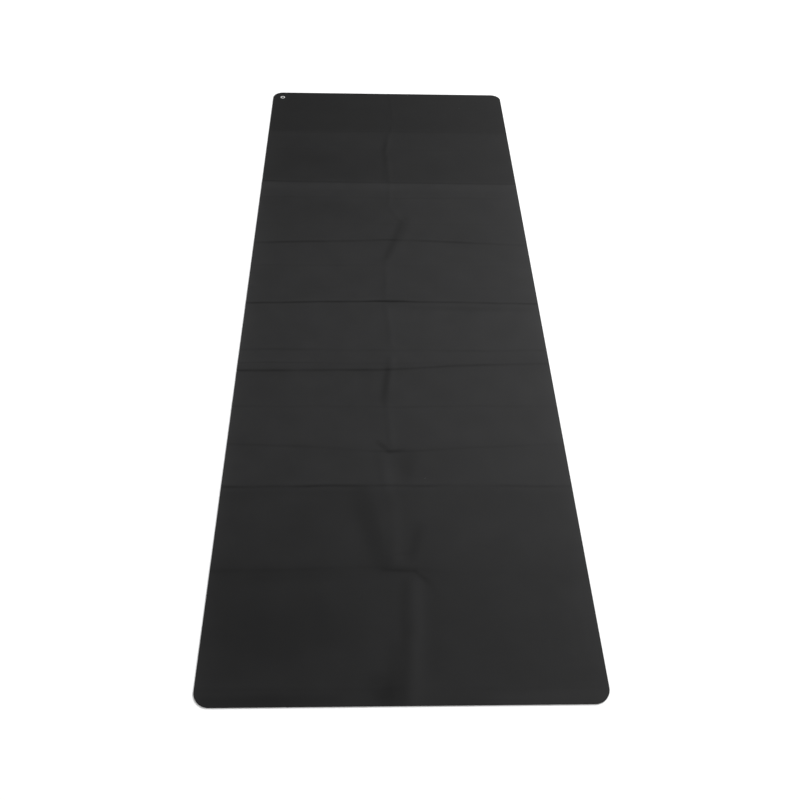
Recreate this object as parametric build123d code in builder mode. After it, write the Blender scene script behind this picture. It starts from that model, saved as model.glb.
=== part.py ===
from build123d import *
import os

# Folding travel mat for exercise: a thin grippy skin bonded to a rubber base. Millimetres, +Z up.
# X runs across the mat and Y along it, with the near end at -Y. The origin is on the floor, under
# the middle of the mat. The mat is laid flat, with every fold open.

# Overall sizes
mat_length = 1730.0
mat_width = 610.0
corner_radius = 25.0

# Layers, from the floor up
base_thickness = 1.1
skin_thickness = 0.4

# Folds
fold_clearance = 1.0  # air left between two layers that are folded onto each other
crease_shares = [0.134, 0.279, 0.398, 0.505, 0.625, 0.756, 0.886]  # of the length, from the near end

# Ring mark pressed onto the skin in the far left corner
mark_radius = 5.5
mark_line_width = 1.8
mark_thickness = 0.1
mark_inset = 25.0  # from the side edge and from the far edge to the middle of the ring

# What follows from the sizes above
mat_thickness = base_thickness + skin_thickness
crease_width = 2 * mat_thickness + 2 * fold_clearance  # spans both halves, once folded onto each other
half_width = mat_width / 2
near_end = -mat_length / 2
far_end = mat_length / 2
crease_middles = [near_end + share * mat_length for share in crease_shares]
row_starts = [near_end] + [middle + crease_width / 2 for middle in crease_middles]
row_ends = [middle - crease_width / 2 for middle in crease_middles] + [far_end]
row_count = len(row_starts)

# A lengthwise crease parts the mat into two halves: each side, with the X of its middle
sides = {"left": -half_width / 2, "right": half_width / 2}

os.makedirs("parts", exist_ok=True)


def outer_corner(layer, side, end):
    """The upright edge of a plate at the mat's own corner: end is 0 for near and -1 for far."""
    column = layer.edges().filter_by(Axis.Z).group_by(Axis.X)[0 if side == "left" else -1]
    return column.sort_by(Axis.Y)[end]


def make_layer(name, row, side, bottom, thickness):
    """One layer of one panel: a flat plate, rounded where it makes a corner of the mat."""
    row_length = row_ends[row] - row_starts[row]
    row_middle = (row_starts[row] + row_ends[row]) / 2
    with BuildPart() as layer:
        with BuildSketch(Plane.XY.offset(bottom)):
            with Locations((sides[side], row_middle)):
                Rectangle(half_width, row_length)
        extrude(amount=thickness)
        if row == 0:
            fillet(outer_corner(layer, side, 0), corner_radius)
        if row == row_count - 1:
            fillet(outer_corner(layer, side, -1), corner_radius)
    layer.part.label = name
    export_step(layer.part, f"parts/{name}.step")


def make_crease(name, crease, side):
    """The narrow strip of mat that bends at a crease across the mat, through its full thickness."""
    with BuildPart() as strip:
        with BuildSketch(Plane.XY):
            with Locations((sides[side], crease_middles[crease])):
                Rectangle(half_width, crease_width)
        extrude(amount=mat_thickness)
    strip.part.label = name
    export_step(strip.part, f"parts/{name}.step")


# Panels: each row has a left and a right half, and each half has its two layers
for row in range(row_count):
    for side in sides:
        make_layer(f"rubber_base_{row + 1}_{side}", row, side, 0.0, base_thickness)
        make_layer(f"top_skin_{row + 1}_{side}", row, side, base_thickness, skin_thickness)

# Crease strips, between one row and the next
for crease in range(row_count - 1):
    for side in sides:
        make_crease(f"crease_{crease + 1}_{side}", crease, side)

# Ring mark
with BuildPart() as corner_mark:
    with BuildSketch(Plane.XY.offset(mat_thickness)):
        with Locations((mark_inset - half_width, far_end - mark_inset)):
            Circle(mark_radius)
            Circle(mark_radius - mark_line_width, mode=Mode.SUBTRACT)
    extrude(amount=mark_thickness)
corner_mark.part.label = "corner_mark"
export_step(corner_mark.part, "parts/corner_mark.step")
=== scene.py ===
import math
from collections import namedtuple

import bpy
import numpy as np
from mathutils import Matrix, Vector


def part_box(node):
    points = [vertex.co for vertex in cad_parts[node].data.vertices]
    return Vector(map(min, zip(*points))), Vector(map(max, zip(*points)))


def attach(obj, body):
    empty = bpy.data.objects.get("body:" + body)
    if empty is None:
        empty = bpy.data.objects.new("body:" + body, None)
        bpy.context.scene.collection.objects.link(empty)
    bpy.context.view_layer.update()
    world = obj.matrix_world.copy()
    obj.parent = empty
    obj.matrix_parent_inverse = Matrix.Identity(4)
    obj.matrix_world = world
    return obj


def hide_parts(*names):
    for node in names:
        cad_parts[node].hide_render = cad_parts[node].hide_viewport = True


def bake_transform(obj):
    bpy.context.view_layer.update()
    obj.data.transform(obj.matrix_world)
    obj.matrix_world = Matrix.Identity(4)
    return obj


# A folding travel mat, laid out flat with its folds showing. Metres, +Z up, +Y away from the camera.
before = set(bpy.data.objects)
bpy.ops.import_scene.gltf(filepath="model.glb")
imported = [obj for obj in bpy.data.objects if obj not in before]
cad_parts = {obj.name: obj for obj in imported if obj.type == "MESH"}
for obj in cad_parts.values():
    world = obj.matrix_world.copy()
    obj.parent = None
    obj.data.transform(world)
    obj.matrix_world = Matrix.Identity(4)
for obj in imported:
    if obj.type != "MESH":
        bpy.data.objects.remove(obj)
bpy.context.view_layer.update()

MM = 0.001
ROWS = 8

# Read off the frame
skin_low, skin_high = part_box("top_skin_1_left")
mark_low, mark_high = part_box("corner_mark")
HALF_WIDTH = -skin_low.x
NEAR_END = skin_low.y
FAR_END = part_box(f"top_skin_{ROWS}_left")[1].y
BASE_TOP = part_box("rubber_base_1_left")[1].z
MAT_TOP = skin_high.z


def length_span(node):
    """Where a CAD node starts and ends along the mat."""
    low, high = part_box(node)
    return low.y, high.y


row_spans = [length_span(f"top_skin_{i}_left") for i in range(1, ROWS + 1)]
crease_spans = [length_span(f"crease_{i}_left") for i in range(1, ROWS)]
crease_middles = [(start + end) / 2 / MM for start, end in crease_spans]  # in millimetres

# Shape of the sheet
CORNER_RADIUS = 25 * MM
EDGE_ROUND = 0.25 * MM  # radius of the outer edges, above and below
SKIN_ROUNDING = 0.999  # share of that radius which is taken off, just short of the skin's own edge
BASE_ROUNDING = 0.8
FOLD_HEIGHT = MAT_TOP + 0.5 * MM  # the fold axes lie half a clearance above the mat
FOLD_HALF = 3.0 * MM  # the lengthwise fold bends this far to each side of the middle
TONGUE_REACH = np.array([0.35, 0.8, 1.2, 1.5, 1.7]) * MM  # its grid lines, out from the end of the piece
TONGUE_DROP = 0.04 * MM  # from the top of the base down to the tongue
NO_TONGUE = 0.02  # share of the reach that is left where a tongue isn't wanted
RING_LINE = 1.8 * MM
RING_SINK = 0.15 * MM  # how far the ring's underside lies in the skin

# Grid lines, in millimetres
RIM = [0.0, 0.04, 0.12, 0.25, 0.6]  # in from the mat's outer edge, close together round it
RIM_END = 1.2  # where the plain lines of a row start, in from the mat's end
CORNER_ANGLES = range(20, 91, 7)  # of the columns round a corner, in degrees from the side edge
BEND_COLUMNS = 8  # in each half of the lengthwise fold's bend
STRIP_LINES = 8
CENTRE_SPOT = (3, 34)  # the stretch of fine columns beside the bend, where the lengthwise fold wanders
COLUMN_SPACING = (1.6, 8.0)  # finest and coarsest
LINE_SPACING = (1.0, 5.5)
SPACING_GROWTH = 0.3  # for each millimetre away from a stretch of fine lines
SPOT_MARGIN = 4  # of fine lines, to each side of a crease
CORNER_FADE = 70 * MM  # over which the grid lines straighten out, in from the mat's ends

# ---------------------------------------------------------------------------------------------
# Relief and painted shading: how the folds lift the mat, and the shade and light painted on it. Places,
# widths and heights in millimetres
# ---------------------------------------------------------------------------------------------

# How a line across the mat looks at strength 1: its height, its reach to the near and to the far side, how
# dark its painted shade is, the half width of that painted dark line, and how light the shoulders on both
# sides are painted
Line = namedtuple("Line", "height near far dark half shoulder")

# The line at each crease, from the near end: its shape, where a valley lies between two swellings and a ridge
# stands up; the darkness of a broad band of painted shade round it (painted light below zero); its look, with
# its painted shade and light; and points along it, which are its x, its y beside the middle of the crease,
# and its strength
FOLD_LINES = [
    (
        "valley", 0.12, Line(0.24, 9, 9, 0.08, 4.8, 0.02),
        [(-300, -5, 0.8), (-161, -2, 0.9), (-60, 1, 0.5), (-24, 3, 1.2), (24, -2, 1.3), (52, -8, 0.4),
         (160, -12, 0.2), (300, -18, 0.15)],
    ),
    (
        "ridge", 0.07, Line(0.26, 8, 8, 0.11, 2.8, 0.03),
        [(-300, 11, 0.8), (-160, 6, 1.0), (-60, -4, 0.6), (-21, -8, 1.3), (40, -5, 1.0), (120, 2, 0.8),
         (300, 11, 0.5)],
    ),
    (
        "valley", 0.15, Line(0.32, 9, 8, 0.25, 3.0, 0.06),
        [(-300, -10, 1.2), (-150, -9, 1.1), (-30, -8, 0.9), (20, -5, 0.7), (108, 4, 0.8), (300, 10, 0.7)],
    ),
    (
        "valley", 0.06, Line(0.34, 6, 6, 0.44, 2.5, 0.06),
        [(-300, 1, 1.0), (-60, 8, 0.9), (-16, 9, 1.4), (30, 8, 1.0), (300, 2, 0.9)],
    ),
    (
        "valley", 0.07, Line(0.30, 8, 8, 0.32, 3.8, 0.06),
        [(-300, -5, 0.4), (-200, 0, 1.0), (-60, 5, 0.5), (-14, 9, 1.0), (40, 7, 1.0), (160, 0, 0.9),
         (300, -8, 0.3)],
    ),
    (
        "ridge", -0.07, Line(0.42, 24, 6, 0.30, 2.8, 0.02),
        [(-300, 8, 1.0), (-10, 4, 1.0), (300, 3, 1.0)],
    ),
    (
        "ridge", -0.03, Line(0.36, 12, 6, 0.09, 2.2, 0.06),
        [(-300, -5, 1.1), (-174, 2, 1.0), (-8, 10, 0.7), (159, 9, 0.6), (300, 17, 0.5)],
    ),
]
# Faint lines left from other foldings, all valleys: y, strength at the left and at the right edge, and look
# with painted shade
FAINT_LINES = [
    (-840, 0.9, 0.5, Line(0.10, 6, 6, 0.06, 2.4, 0.04)),
    (-467, 1.1, 0.8, Line(0.24, 8, 8, 0.30, 2.8, 0.06)),
    (-280, 0.9, 0.8, Line(0.20, 8, 8, 0.12, 2.8, 0.02)),
    (-166, 1.1, 0.1, Line(0.14, 5, 5, 0.15, 1.8, 0.02)),
    (-129, 0.9, 0.9, Line(0.10, 6, 6, 0.16, 3.2, 0.01)),
    (60, 0.7, 0.7, Line(0.10, 7, 7, 0.05, 3.0, 0.01)),
    (133, 1.0, 0.4, Line(0.12, 7, 7, 0.07, 3.0, 0.02)),
    (283, 0.6, 0.9, Line(0.12, 7, 7, 0.06, 3.0, 0.02)),
    (385, 0.8, 1.0, Line(0.14, 9, 8, 0.10, 4.0, 0.03)),
    (590, 0.7, 0.9, Line(0.12, 7, 7, 0.06, 4.0, 0.03)),
]
# The lengthwise fold wanders: each run goes from (x, y) to (x, y), with its height, half width and painted
# shade
CENTRE_RUNS = [
    ((6, 862), (14, 740), 0.20, 6, 0.03),
    ((12, 700), (-10, 570), 0.28, 6, 0.09),
    ((-4, 562), (1, 446), 0.28, 6, 0.09),
    ((1, 440), (-3, 350), 0.24, 6, 0.06),
    ((4, 340), (30, 290), 0.20, 8, 0.04),
    ((30, 292), (-10, 150), 0.32, 9, 0.06),
    ((-10, 150), (-13, 22), 0.24, 7, 0.05),
    ((-12, 4), (-3, -120), 0.24, 7, 0.05),
    ((-4, -150), (-18, -270), 0.30, 8, 0.08),
    ((-16, -270), (-8, -380), 0.26, 7, 0.06),
    ((-26, -392), (-12, -500), 0.28, 10, 0.07),
    ((-6, -490), (-8, -626), 0.28, 10, 0.08),
    ((21, -650), (22, -750), 0.36, 11, 0.10),
    ((21, -740), (10, -862), 0.34, 11, 0.10),
]
# Soft painted shades and painted light: from (x, y, half width) to (x, y, half width), and how dark, light
# below zero
PAINTED_SHADES = [
    ((10, 842, 8), (12, 800, 10), 0.12),
    ((-4, 760, 8), (0, 735, 6), 0.08),
    ((-9, 660, 5), (-15, 460, 6), 0.16),
    ((34, 300, 12), (-8, 162, 8), 0.26),
    ((60, 310, 16), (22, 200, 14), -0.06),
    ((-30, 16, 6), (26, 18, 5), 0.16),
    ((-12, -180, 8), (-19, -268, 10), 0.24),
    ((-60, -200, 10), (-40, -330, 12), 0.05),
    ((-34, -367, 4), (-14, -389, 4), 0.24),
    ((-14, -389, 4), (10, -386, 4), 0.20),
    ((22, -404, 16), (16, -452, 9), 0.18),
    ((-66, -486, 20), (-28, -630, 12), 0.24),
    ((-20, -430, 10), (-12, -600, 12), -0.08),
    ((33, -552, 12), (20, -614, 9), 0.22),
    ((-8, -606, 3), (20, -606, 3), 0.10),
    ((-26, -636, 4), (24, -639, 3), 0.32),
    ((24, -639, 3), (44, -659, 4), 0.26),
    ((44, -655, 7), (60, -690, 8), 0.12),
    ((4, -664, 7), (2, -780, 8), 0.16),
    ((26, -662, 10), (24, -770, 13), -0.17),
    ((58, -700, 14), (52, -800, 16), 0.05),
    ((-12, -775, 12), (-12, -862, 14), 0.20),
    ((-34, -834, 18), (-18, -862, 14), 0.32),
    ((26, -780, 14), (24, -862, 18), -0.18),
    ((-290, -655, 14), (-90, -645, 10), 0.08),
    ((-290, -478, 12), (-60, -476, 10), 0.07),
    ((-280, -730, 60), (-110, -740, 50), 0.15),
    ((100, -740, 60), (170, -740, 60), 0.06),
    ((-285, -856, 10), (-100, -856, 9), 0.20),
    ((130, -856, 9), (285, -852, 12), -0.20),
    ((-210, -560, 40), (-120, -540, 40), 0.04),
    ((-130, -690, 12), (-110, -760, 14), 0.08),
    ((90, -560, 26), (180, -520, 30), -0.03),
    ((120, 500, 30), (260, 540, 30), 0.05),
    ((-285, 429, 11), (285, 428, 12), -0.11),
    ((40, -4, 6), (285, -8, 6), 0.12),
    ((-250, 800, 45), (-60, 790, 35), 0.07),
    ((-280, 560, 30), (-180, 560, 40), 0.07),
    ((-250, 560, 45), (-60, 520, 40), 0.08),
    ((-260, 345, 42), (-50, 340, 36), 0.11),
    ((-250, -80, 30), (-200, -60, 25), 0.05),
    ((270, -40, 40), (285, 420, 30), -0.06),
    ((284, -650, 8), (286, -800, 8), -0.06),
    ((262, -680, 6), (264, -840, 6), -0.05),
]
# Broad painted shade and light of the mat from the near end to the far end, and each step from one level to
# the
# next: its y, and how far it is spread to each side
PAINTED_ROW_SHADES = [0.57, 0.72, 0.87, 0.94, 0.99, 0.91, 0.81, 0.54, 0.36]
PAINTED_SHADE_STEPS = [(-610, 70), (-467, 9), (-382, 16), (-176, 45), (9, 40), (216, 45), (445, 5), (669, 6)]
EDGE_PAINTED_LIGHT = 0.45  # how much lighter the side edges are painted: painted light along both sides
EDGE_REACH = 14  # how far in that fades
SHADE_STRENGTH = 1.5  # of every mark of painted shade or painted light
SHADE_DENT = 0.35  # how deep a soft painted shade of darkness 1 dents the mat
BASE_LIFT = 0.07  # of the flat parts, which rise and fall a little round it
RELIEF_LIMIT = 0.47  # half the clearance between two folded layers, less a little
SHOULDER_AWAY = 7  # from a line to its shoulders
SHOULDER_HALF = 5
BAND_HALF = 14
RUN_FADE = 26  # over which a run of the lengthwise fold starts and ends
SIDE_POINTS = [-300, 300]  # the x at which a faint line's two strengths are given


def smooth_steps(x, xs, values):
    """A smooth line through values at xs."""
    reaches = (-24, -12, 0, 12, 24)
    return sum(np.interp(x + reach, xs, values) for reach in reaches) / len(reaches)


def wobble(x, y, seed):
    """A slow, smooth wander of about one unit."""
    turn = 1.7 * seed
    first = np.sin(x / 23.0 + turn) * np.cos(y / 31.0 + 0.6 * turn)
    second = np.sin(x / 9.1 + 2.3 * turn + y / 47.0)
    third = np.sin(x / 61.0 - y / 73.0 + 0.9 * turn)
    return 0.45 * first + 0.25 * second + 0.5 * third


def hump(s, half):
    """A smooth hump round s = 0, of height 1."""
    return np.exp(-((s / half) ** 2))


def swelling(kind, s, near, far):
    """Height at a signed distance s from a line: a ridge on it, or a valley between two swellings."""
    width = np.where(s < 0, near, far)
    u = np.sqrt(s * s + 0.9) / width
    if kind == "ridge":
        return np.exp(-1.6 * u)
    return 1.35 * u * np.exp(1 - 1.7 * u)


def line_marks(kind, line, strength, s):
    """Lift and painted shade of a line at a signed distance s from it, with painted light on its shoulders.
    """
    strength = np.maximum(strength, 0.0)
    lift = line.height * strength * swelling(kind, s, line.near, line.far)
    dark = line.dark * strength * hump(s, line.half)
    return lift, dark - line.shoulder * strength * hump(np.abs(s) - SHOULDER_AWAY, SHOULDER_HALF)


def fold_marks(x, y):
    """Lift and painted shade of the creases across the mat, with a broad band of painted shade round each."""
    lift, dark = np.zeros_like(x), np.zeros_like(x)
    for index, (kind, band_painted_shade, line, points) in enumerate(FOLD_LINES):
        xs, ys, strengths = zip(*points)
        s = y - crease_middles[index] - smooth_steps(x, xs, ys) - 0.8 * wobble(x, 0 * y, index)
        strength = smooth_steps(x, xs, strengths) * (0.9 + 0.35 * wobble(x / 1.4, 0 * y, index + 11))
        line_lift, line_painted_dark = line_marks(kind, line, strength, s)
        lift = lift + line_lift
        # A broad band of painted shade round the crease, painted light where the band is below zero
        dark = dark + line_painted_dark + band_painted_shade * np.maximum(strength, 0.0) * hump(s, BAND_HALF)
    return lift, dark


def faint_marks(x, y):
    """Lift and painted shade of the faint lines across the mat."""
    lift, dark = np.zeros_like(x), np.zeros_like(x)
    for place, left, right, line in FAINT_LINES:
        s = y - place - 2.0 * wobble(x / 1.8, 0 * y, place)
        uneven = 0.75 + 0.5 * wobble(x / 1.2, 0 * y, place + 5)
        strength = np.interp(x, SIDE_POINTS, [left, right]) * uneven
        line_lift, line_painted_dark = line_marks("valley", line, strength, s)
        lift = lift + line_lift
        dark = dark + line_painted_dark
    return lift, dark


def centre_marks(x, y):
    """Lift and painted shade of the lengthwise fold: a ridge, with painted shade on its left and painted
    light on its right.
    """
    lift, dark = np.zeros_like(x), np.zeros_like(x)
    for (x0, y0), (x1, y1), height, half, painted_shade_and_light in CENTRE_RUNS:
        s = x - np.interp(y, [y1, y0], [x1, x0]) - 1.5 * wobble(y, 0 * x, x0)
        inside = np.clip((y - y1) / RUN_FADE + 0.5, 0, 1) * np.clip((y0 - y) / RUN_FADE + 0.5, 0, 1)
        inside = inside * inside * (3 - 2 * inside) * (0.8 + 0.3 * wobble(y / 1.6, 0 * x, y0))
        lift = lift + height * inside * hump(s, half)
        # Painted shade on the ridge's left side and painted light on its right
        dark = dark + painted_shade_and_light * inside * hump(s + 0.9 * half, 0.8 * half)
        dark = dark - 0.8 * painted_shade_and_light * inside * hump(s - 0.5 * half, 0.8 * half)
    return lift, dark


def painted_shade_marks(x, y):
    """Lift and darkness of the soft painted shades, and their painted light where below zero."""
    dark = np.zeros_like(x)
    for (x0, y0, half0), (x1, y1, half1), amount in PAINTED_SHADES:
        along = ((x - x0) * (x1 - x0) + (y - y0) * (y1 - y0)) / ((x1 - x0) ** 2 + (y1 - y0) ** 2)
        along = np.clip(along, 0, 1)
        half = half0 + along * (half1 - half0)
        away = np.hypot(x - x0 - along * (x1 - x0), y - y0 - along * (y1 - y0)) / half
        away = np.maximum(away + 0.28 * wobble(x / 0.9, y / 1.1, half0) - 0.1, 0)
        dark = dark + amount * (0.55 + 0.45 * np.sin(math.pi * along)) * np.exp(-(away**2))
    return -SHADE_DENT * dark, dark


def broad_painted_shading(x, y):
    """Painted shade and light of the mat apart from its lines and soft shades, with painted light along the
    side edges.
    """
    painted_shading = np.full_like(x, PAINTED_ROW_SHADES[0])
    for (place, half), before, after in zip(PAINTED_SHADE_STEPS, PAINTED_ROW_SHADES, PAINTED_ROW_SHADES[1:]):
        painted_shading = painted_shading + (after - before) * (1 + np.tanh((y - place) / half)) / 2
    # Painted light along both side edges, fading inwards
    return painted_shading * (1 + EDGE_PAINTED_LIGHT * np.exp((np.abs(x) - HALF_WIDTH / MM) / EDGE_REACH))


def relief(x, y):
    """Lift and painted shading at points of the mat in metres. Lift comes back in metres, painted shade and
    light as a factor.
    """
    x, y = x / MM, y / MM
    lift = BASE_LIFT + 0.04 * wobble(x / 2.2, y / 2.6, 3) + 0.02 * wobble(x / 1.1, y / 1.3, 5)
    dark = np.zeros_like(x)
    for marks in (fold_marks, faint_marks, centre_marks, painted_shade_marks):
        more_lift, more_painted_dark = marks(x, y)
        lift = lift + more_lift
        dark = dark + more_painted_dark
    lift = np.maximum(lift, 0.0)
    lift = lift / (1 + (lift / RELIEF_LIMIT) ** 4) ** 0.25
    return lift * MM, broad_painted_shading(x, y) * (1.0 - SHADE_STRENGTH * dark)


# ---------------------------------------------------------------------------------------------
# Grid lines: close together at the creases and the edges, further apart between them
# ---------------------------------------------------------------------------------------------

def lines_between(start, end, fine_spots, finest, coarsest):
    """Line places from start to end in millimetres. fine_spots are (low, high) stretches of fine lines."""
    places = [start]
    while places[-1] < end:
        at = places[-1]
        away = min(max(low - at, at - high, 0.0) for low, high in fine_spots)
        places.append(at + min(coarsest, finest + SPACING_GROWTH * away))
    scale = (end - start) / (places[-1] - start)
    return [start + (place - start) * scale for place in places]


def columns():
    """X places of the grid's columns, the same for every piece."""
    half = HALF_WIDTH / MM
    radius = CORNER_RADIUS / MM
    arc = [radius * (1 - math.cos(math.radians(angle))) for angle in CORNER_ANGLES]
    outer = [half - inset for inset in RIM + arc]
    inner = lines_between(FOLD_HALF / MM, outer[-1], [CENTRE_SPOT], *COLUMN_SPACING)
    bend = [FOLD_HALF / MM * k / BEND_COLUMNS for k in range(BEND_COLUMNS)]
    right = bend + inner[:-1] + outer[::-1]
    return np.array([-x for x in right[:0:-1]] + right) * MM


def fine_spots():
    """Stretches of y with a line in them."""
    spots = []
    for middle, (kind, band_painted_shade, line, points) in zip(crease_middles, FOLD_LINES):
        beside = [y for x, y, strength in points]
        spots.append((middle + min(beside) - SPOT_MARGIN, middle + max(beside) + SPOT_MARGIN))
    for place, left, right, line in FAINT_LINES:
        spots.append((place - SPOT_MARGIN, place + SPOT_MARGIN))
    return spots


def row_lines(row):
    """Y places of a row's grid lines, in metres, with the rim's lines at the mat's own ends."""
    start, end = row_spans[row - 1]
    places = np.array(lines_between(start / MM, end / MM, FINE_SPOTS, *LINE_SPACING)) * MM
    rim = np.array(RIM) * MM
    if row == 1:
        places = np.concatenate([start + rim, places[places > start + RIM_END * MM]])
    if row == ROWS:
        places = np.concatenate([places[places < end - RIM_END * MM], end - rim[::-1]])
    return places


COLUMNS = columns()
FINE_SPOTS = fine_spots()

# ---------------------------------------------------------------------------------------------
# Meshes
# ---------------------------------------------------------------------------------------------

def new_piece(name, points, faces, sharp_from):
    """An object of the given mesh, smooth up to an angle, whose points also keep their place at rest."""
    mesh = bpy.data.meshes.new(name)
    mesh.from_pydata(points.tolist(), [], faces)
    mesh.shade_smooth()
    mesh.set_sharp_from_angle(angle=math.radians(sharp_from))
    rest = mesh.attributes.new("rest", "FLOAT_VECTOR", "POINT")
    rest.data.foreach_set("vector", points.astype(np.float32).ravel())
    piece = bpy.data.objects.new(name, mesh)
    bpy.context.scene.collection.objects.link(piece)
    return piece


def outline_distance(x, y):
    """Distance in from the mat's outline, which has four rounded corners."""
    half_length = (FAR_END - NEAR_END) / 2
    qx = np.abs(x) - (HALF_WIDTH - CORNER_RADIUS)
    qy = np.abs(y - (FAR_END + NEAR_END) / 2) - (half_length - CORNER_RADIUS)
    outside = np.hypot(np.maximum(qx, 0), np.maximum(qy, 0))
    return CORNER_RADIUS - outside - np.minimum(np.maximum(qx, qy), 0)


def corner_offset(x):
    """How far the end of the mat is pulled in at x by its rounded corners."""
    over = np.maximum(np.abs(x) - (HALF_WIDTH - CORNER_RADIUS), 0)
    return CORNER_RADIUS - np.sqrt(np.maximum(CORNER_RADIUS**2 - over**2, 0))


def fit_corners(x, y):
    """Pulls the grid lines near the mat's ends round its corners."""
    near = np.clip(1 - (y - NEAR_END) / CORNER_FADE, 0, 1)
    far = np.clip(1 - (FAR_END - y) / CORNER_FADE, 0, 1)
    return y + corner_offset(x) * (near - far)


def tongue_at(crease):
    """What share of its reach a tongue at a crease has at each column. Where the crease folds down, only the
    right half has one, because that half's corners open when the mat is folded lengthwise first."""
    folds_up = crease % 2 == 1
    return np.ones_like(COLUMNS) if folds_up else np.where(COLUMNS > 0, 1.0, NO_TONGUE)


def add_tongue(grids, end_y, share, to_near):
    """Adds a tongue to the near or the far end of a piece's grids. It reaches into the next piece, where it
    stays out of sight until a fold opens its outer corner, which the tongue's round underside then closes."""
    reach = TONGUE_REACH[:, None] * share
    x = np.tile(COLUMNS, (len(TONGUE_REACH), 1))
    y = end_y - reach if to_near else end_y + reach
    lift, painted_shading = relief(x, y)
    arc = FOLD_HEIGHT - np.sqrt(FOLD_HEIGHT**2 - (y - end_y) ** 2)
    tongue = (x, y, BASE_TOP - TONGUE_DROP + lift, arc + lift, painted_shading)
    if to_near:
        return [np.vstack([added[::-1], grid]) for grid, added in zip(grids, tongue)]
    return [np.vstack([grid, added]) for grid, added in zip(grids, tongue)]


def closed_sheet(name, places, bottom, top, near_tongue=None, far_tongue=None):
    """A closed piece of skin or base between two heights on the relief, over the columns and the given lines.
    Its outer edge is rounded, above on the skin and below on the base."""
    x, y = np.meshgrid(COLUMNS, places)
    y = fit_corners(x, y)
    lift, painted_shading = relief(x, y)
    z_top = top + lift
    z_bottom = bottom + lift
    inward = np.clip(EDGE_ROUND - outline_distance(x, y), 0, EDGE_ROUND)
    rounding = EDGE_ROUND - np.sqrt(np.maximum(EDGE_ROUND**2 - inward**2, 0))
    if top == MAT_TOP:
        z_top = z_top - SKIN_ROUNDING * rounding
    else:
        z_bottom = z_bottom + BASE_ROUNDING * rounding
    grids = [x, y, z_top, z_bottom, painted_shading]
    if near_tongue is not None:
        grids = add_tongue(grids, places[0], near_tongue, to_near=True)
    if far_tongue is not None:
        grids = add_tongue(grids, places[-1], far_tongue, to_near=False)
    x, y, z_top, z_bottom, painted_shading = grids
    upper = np.stack([x, y, z_top], -1).reshape(-1, 3)
    lower = np.stack([x, y, z_bottom], -1).reshape(-1, 3)
    count = len(upper)
    number = np.arange(count).reshape(x.shape)
    a, b, c, d = number[:-1, :-1], number[:-1, 1:], number[1:, 1:], number[1:, :-1]
    rim = np.concatenate([number[0, :], number[1:, -1], number[-1, -2::-1], number[-2:0:-1, 0]])
    following = np.roll(rim, -1)
    quads = [
        np.stack([a, b, c, d], -1).reshape(-1, 4),
        np.stack([d, c, b, a], -1).reshape(-1, 4) + count,
        np.stack([rim + count, following + count, following, rim], -1),
    ]
    points = np.concatenate([upper, lower])
    piece = new_piece(name, points, np.concatenate(quads).tolist(), sharp_from=38)
    # The painted shade and light, kept in the mesh for the materials to darken and lighten their colour by
    painted_shade_and_light = piece.data.attributes.new("painted_shading", "FLOAT", "POINT")
    painted_shade_and_light.data.foreach_set("value", np.tile(painted_shading.ravel(), 2).astype(np.float32))
    return piece


def ring_mark():
    """The printed ring: a low rounded band that follows the skin."""
    centre = (mark_low + mark_high) / 2
    outer = (mark_high.x - mark_low.x) / 2
    height = mark_high.z - mark_low.z
    around, across = 96, 8
    profile = []
    for k in range(across + 1):
        share = k / across
        profile.append((outer - RING_LINE * share, height * (1 - (2 * share - 1) ** 6)))
    profile += [(outer - RING_LINE, -RING_SINK), (outer, -RING_SINK)]
    points, faces = [], []
    size = len(profile)
    for j in range(around):
        angle = 2 * math.pi * j / around
        following = (j + 1) % around
        for k, (radius, rise) in enumerate(profile):
            x = centre.x + radius * math.cos(angle)
            y = centre.y + radius * math.sin(angle)
            lift, painted_shading = relief(np.array([x]), np.array([y]))
            points.append((x, y, MAT_TOP + lift[0] + rise))
            k2 = (k + 1) % size
            faces.append((j * size + k, following * size + k, following * size + k2, j * size + k2))
    return new_piece("ring_mark", np.array(points), faces, sharp_from=50)


# ---------------------------------------------------------------------------------------------
# Materials
# ---------------------------------------------------------------------------------------------

def start_material(name, roughness, specular):
    """A material with its shader set, a maker of its nodes, and the place at rest as texture coordinates."""
    material = bpy.data.materials.new(name)
    material.use_nodes = True
    shader = material.node_tree.nodes["Principled BSDF"]
    shader.inputs["Roughness"].default_value = roughness
    shader.inputs["Specular IOR Level"].default_value = specular
    nodes, links = material.node_tree.nodes, material.node_tree.links

    def make(kind, inputs, output, **settings):
        """Adds a node, sets or links its inputs, and gives back one of its outputs."""
        node = nodes.new(kind)
        for key, value in settings.items():
            setattr(node, key, value)
        for key, value in inputs.items():
            if isinstance(value, bpy.types.NodeSocket):
                links.new(value, node.inputs[key])
            else:
                node.inputs[key].default_value = value
        return node.outputs[output]

    place = make("ShaderNodeAttribute", {}, "Vector", attribute_name="rest")
    return material, make, place


def link_shader(material, outputs):
    """Links outputs to the material's shader, each by the name of the shader's socket."""
    shader = material.node_tree.nodes["Principled BSDF"]
    for socket, output in outputs.items():
        material.node_tree.links.new(output, shader.inputs[socket])


def math_node(make, operation, *values):
    """The result of a math node for values or sockets."""
    return make("ShaderNodeMath", dict(enumerate(values)), "Value", operation=operation)


def noise(make, place, scale, detail, roughness):
    """Noise from 0 to 1 over the mat."""
    inputs = {"Vector": place, "Scale": scale, "Detail": detail, "Roughness": roughness}
    return make("ShaderNodeTexNoise", inputs, "Fac")


def spread(make, value, from_low, from_high, to_low, to_high):
    """A value carried from one range to another."""
    inputs = {
        "Value": value,
        "From Min": from_low,
        "From Max": from_high,
        "To Min": to_low,
        "To Max": to_high,
    }
    return make("ShaderNodeMapRange", inputs, "Result")


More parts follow.
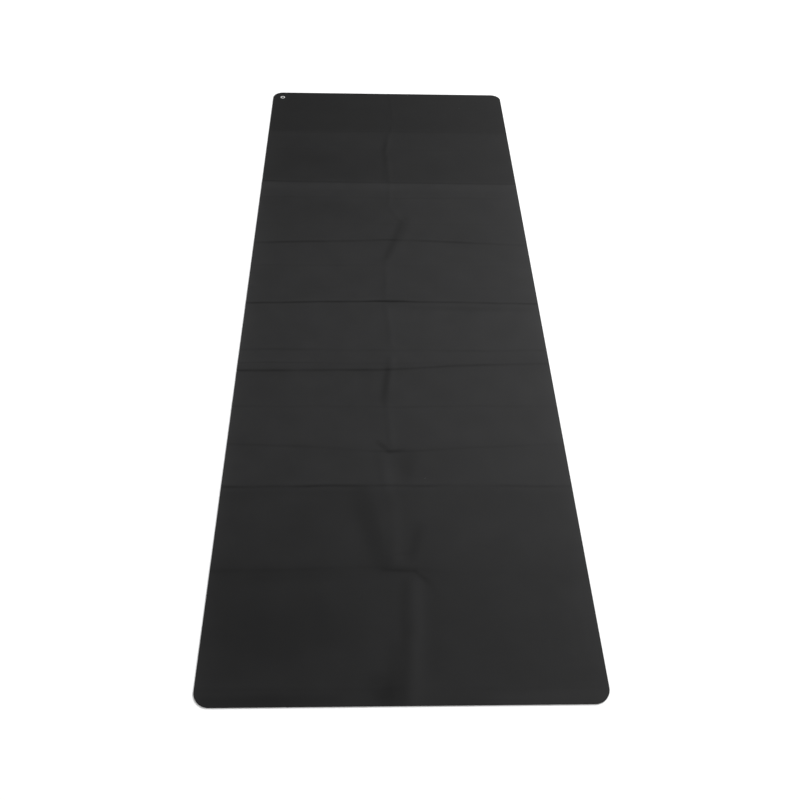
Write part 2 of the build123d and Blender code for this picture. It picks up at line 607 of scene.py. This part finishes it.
def mixed(make, factor, first, second):
    """A colour between two others."""
    inputs = {"Factor": factor, "A": first, "B": second}
    return make("ShaderNodeMix", inputs, "Result", data_type="RGBA")


def bumped(make, height, strength, distance):
    """A normal for a height in units of distance."""
    inputs = {"Strength": strength, "Distance": distance, "Height": height}
    return make("ShaderNodeBump", inputs, "Normal")


def tinted(make, place, colour, amount, scale):
    """A colour that varies by an amount in soft patches, and is darkened and lightened by the painted shade
    and light kept in the mesh.
    """
    patches = noise(make, place, scale, 5.0, 0.6)
    varied = spread(make, patches, 0.3, 0.7, 1 - amount, 1 + amount)
    painted_shading = make("ShaderNodeAttribute", {}, "Fac", attribute_name="painted_shading")
    factor = math_node(make, "MULTIPLY", varied, painted_shading)
    return make("ShaderNodeVectorMath", {0: colour, "Scale": factor}, "Vector", operation="SCALE")


def skin_material():
    """Matte black skin: fine pebbled grain, faint handling marks, a few specks of dust, and painted shade and
    light in its colour.
    """
    material, make, place = start_material("mat_skin", 0.62, 0.13)
    colour = tinted(make, place, (0.0148, 0.0148, 0.0152), 0.10, 15.0)
    cells = {"Vector": place, "Scale": 42.0, "Randomness": 1.0}
    from_speck = make("ShaderNodeTexVoronoi", cells, "Distance")
    cell_colour = make("ShaderNodeTexVoronoi", cells, "Color")
    cell_number = make("ShaderNodeSeparateColor", {"Color": cell_colour}, "Red")
    tiny = math_node(make, "LESS_THAN", from_speck, 0.018)
    few = math_node(make, "LESS_THAN", cell_number, 0.03)
    dust = math_node(make, "MULTIPLY", tiny, few)
    handling = noise(make, place, 60.0, 4.0, 0.55)
    pebbles = make(
        "ShaderNodeTexVoronoi",
        {"Vector": place, "Scale": 1150.0, "Smoothness": 0.6, "Randomness": 0.9},
        "Distance",
        feature="SMOOTH_F1",
    )
    fine = noise(make, place, 2600.0, 3.0, 0.6)
    grain = math_node(make, "MULTIPLY_ADD", pebbles, -1.0, fine)
    link_shader(material, {
        "Base Color": mixed(make, dust, colour, (0.30, 0.30, 0.29, 1.0)),
        "Roughness": spread(make, handling, 0.3, 0.7, 0.61, 0.64),
        "Normal": bumped(make, grain, 0.55, 0.09 * MM),
    })
    return material


def rubber_material():
    """Black natural rubber: a woven grip pattern pressed in, a slightly dusty, uneven tone, and painted shade
    and light in its colour.
    """
    material, make, place = start_material("mat_rubber", 0.72, 0.30)
    weave_pitch = 1.8 * MM
    waves = []
    for axis in ("X", "Y"):
        along = make("ShaderNodeSeparateXYZ", {"Vector": place}, axis)
        turned = math_node(make, "MULTIPLY", along, 2 * math.pi / weave_pitch)
        waves.append(math_node(make, "SINE", turned))
    weave = math_node(make, "MULTIPLY", *waves)
    fine = noise(make, place, 1900.0, 3.0, 0.6)
    link_shader(material, {
        "Base Color": tinted(make, place, (0.019, 0.0185, 0.018), 0.16, 17.0),
        "Normal": bumped(make, math_node(make, "MULTIPLY_ADD", fine, 0.8, weave), 0.6, 0.12 * MM),
    })
    return material


def mark_material():
    """Pale printed ring, slightly worn through to the skin."""
    material, make, place = start_material("ring_print", 0.5, 0.4)
    wear = noise(make, place, 900.0, 4.0, 0.7)
    left = spread(make, wear, 0.30, 0.46, 0.0, 1.0)
    link_shader(material, {
        "Base Color": mixed(make, left, (0.22, 0.22, 0.22, 1.0), (0.72, 0.72, 0.71, 1.0)),
        "Normal": bumped(make, wear, 0.4, 0.04 * MM),
    })
    return material


SKIN = skin_material()
RUBBER = rubber_material()
MARK = mark_material()

# ---------------------------------------------------------------------------------------------
# Pieces
# ---------------------------------------------------------------------------------------------


def flat_area(row, width, length):
    """Area of a row as cut, less what its rounded corners take away."""
    taken = 2 * (1 - math.pi / 4) * CORNER_RADIUS**2 if row in (1, ROWS) else 0.0
    return width * length - taken


for i, (start, end) in enumerate(crease_spans, 1):
    places = np.linspace(start, end, STRIP_LINES)
    skin = closed_sheet(f"crease_skin_{i}", places, BASE_TOP, MAT_TOP)
    base = closed_sheet(f"crease_rubber_{i}", places, 0.0, BASE_TOP, tongue_at(i), tongue_at(i))
    for piece, material in ((skin, SKIN), (base, RUBBER)):
        piece.data.materials.append(material)
        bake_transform(piece)
        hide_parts(f"crease_{i}_left", f"crease_{i}_right")

for i, (start, end) in enumerate(row_spans, 1):
    places = row_lines(i)
    near_tongue = tongue_at(i - 1) if i > 1 else None
    far_tongue = tongue_at(i) if i < ROWS else None
    skin = closed_sheet(f"skin_{i}", places, BASE_TOP, MAT_TOP)
    base = closed_sheet(f"rubber_{i}", places, 0.0, BASE_TOP, near_tongue, far_tongue)
    for piece, material, node in ((skin, SKIN, "top_skin"), (base, RUBBER, "rubber_base")):
        piece.data.materials.append(material)
        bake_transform(piece)
        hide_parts(f"{node}_{i}_left", f"{node}_{i}_right")
    width, length = 2 * HALF_WIDTH, end - start
    area = flat_area(i, width, length)

ring = ring_mark()
ring.data.materials.append(MARK)
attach(ring, "panel_8_left")
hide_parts("corner_mark")

# ---------------------------------------------------------------------------------------------
# Floor, light and camera
# ---------------------------------------------------------------------------------------------

def studio_floor():
    """A wide white floor, just under the mat."""
    reach, drop = 40.0, 0.2 * MM
    corners = [(-reach, -reach, 0), (reach, -reach, 0), (reach, reach, 0), (-reach, reach, 0)]
    mesh = bpy.data.meshes.new("floor")
    mesh.from_pydata(corners, [], [(0, 1, 2, 3)])
    material = bpy.data.materials.new("studio_floor")
    material.use_nodes = True
    paint = material.node_tree.nodes["Principled BSDF"]
    paint.inputs["Base Color"].default_value = (0.93, 0.93, 0.93, 1.0)
    paint.inputs["Roughness"].default_value = 0.95
    paint.inputs["Specular IOR Level"].default_value = 0.1
    mesh.materials.append(material)
    floor = bpy.data.objects.new("floor", mesh)
    floor.location.z = -drop
    bpy.context.scene.collection.objects.link(floor)


def even_sky(strength):
    """The same white light from everywhere."""
    world = bpy.data.worlds.new("studio")
    world.use_nodes = True
    background = world.node_tree.nodes["Background"]
    background.inputs["Color"].default_value = (1.0, 1.0, 1.0, 1.0)
    background.inputs["Strength"].default_value = strength
    bpy.context.scene.world = world


def soft_box(name, place, size, power):
    """A large square studio light, aimed at the middle of the mat."""
    data = bpy.data.lights.new(name, "AREA")
    data.shape = "SQUARE"
    data.size = size
    data.energy = power
    light = bpy.data.objects.new(name, data)
    light.location = place
    light.rotation_mode = "QUATERNION"
    light.rotation_quaternion = (-Vector(place)).to_track_quat("-Z", "Y")
    bpy.context.scene.collection.objects.link(light)


def camera_at(place, lens, yaw, pitch, roll):
    """The camera, turned right from +Y by yaw, down by pitch and round its own line of sight by roll."""
    yaw, pitch, roll = math.radians(yaw), math.radians(pitch), math.radians(roll)
    look = Vector((math.sin(yaw) * math.cos(pitch), math.cos(yaw) * math.cos(pitch), -math.sin(pitch)))
    level = Vector((math.cos(yaw), -math.sin(yaw), 0.0))
    up = level.cross(look)
    across = level * math.cos(roll) + up * math.sin(roll)
    upward = up * math.cos(roll) - level * math.sin(roll)
    data = bpy.data.cameras.new("camera")
    data.sensor_width = 36.0
    data.lens = lens
    camera = bpy.data.objects.new("camera", data)
    camera.location = place
    camera.rotation_mode = "QUATERNION"
    camera.rotation_quaternion = Matrix((across, upward, -look)).transposed().to_quaternion()
    bpy.context.scene.collection.objects.link(camera)
    bpy.context.scene.camera = camera


studio_floor()
even_sky(0.40)
soft_box("key", (5.2, 5.2, 5.8), 2.6, 900.0)
soft_box("overhead", (0.6, -0.4, 3.4), 3.0, 36.0)
camera_at((-0.0539, -1.4497, 1.2882), lens=41.78, yaw=3.023, pitch=47.281, roll=2.311)
bpy.context.scene.view_settings.view_transform = "Standard"
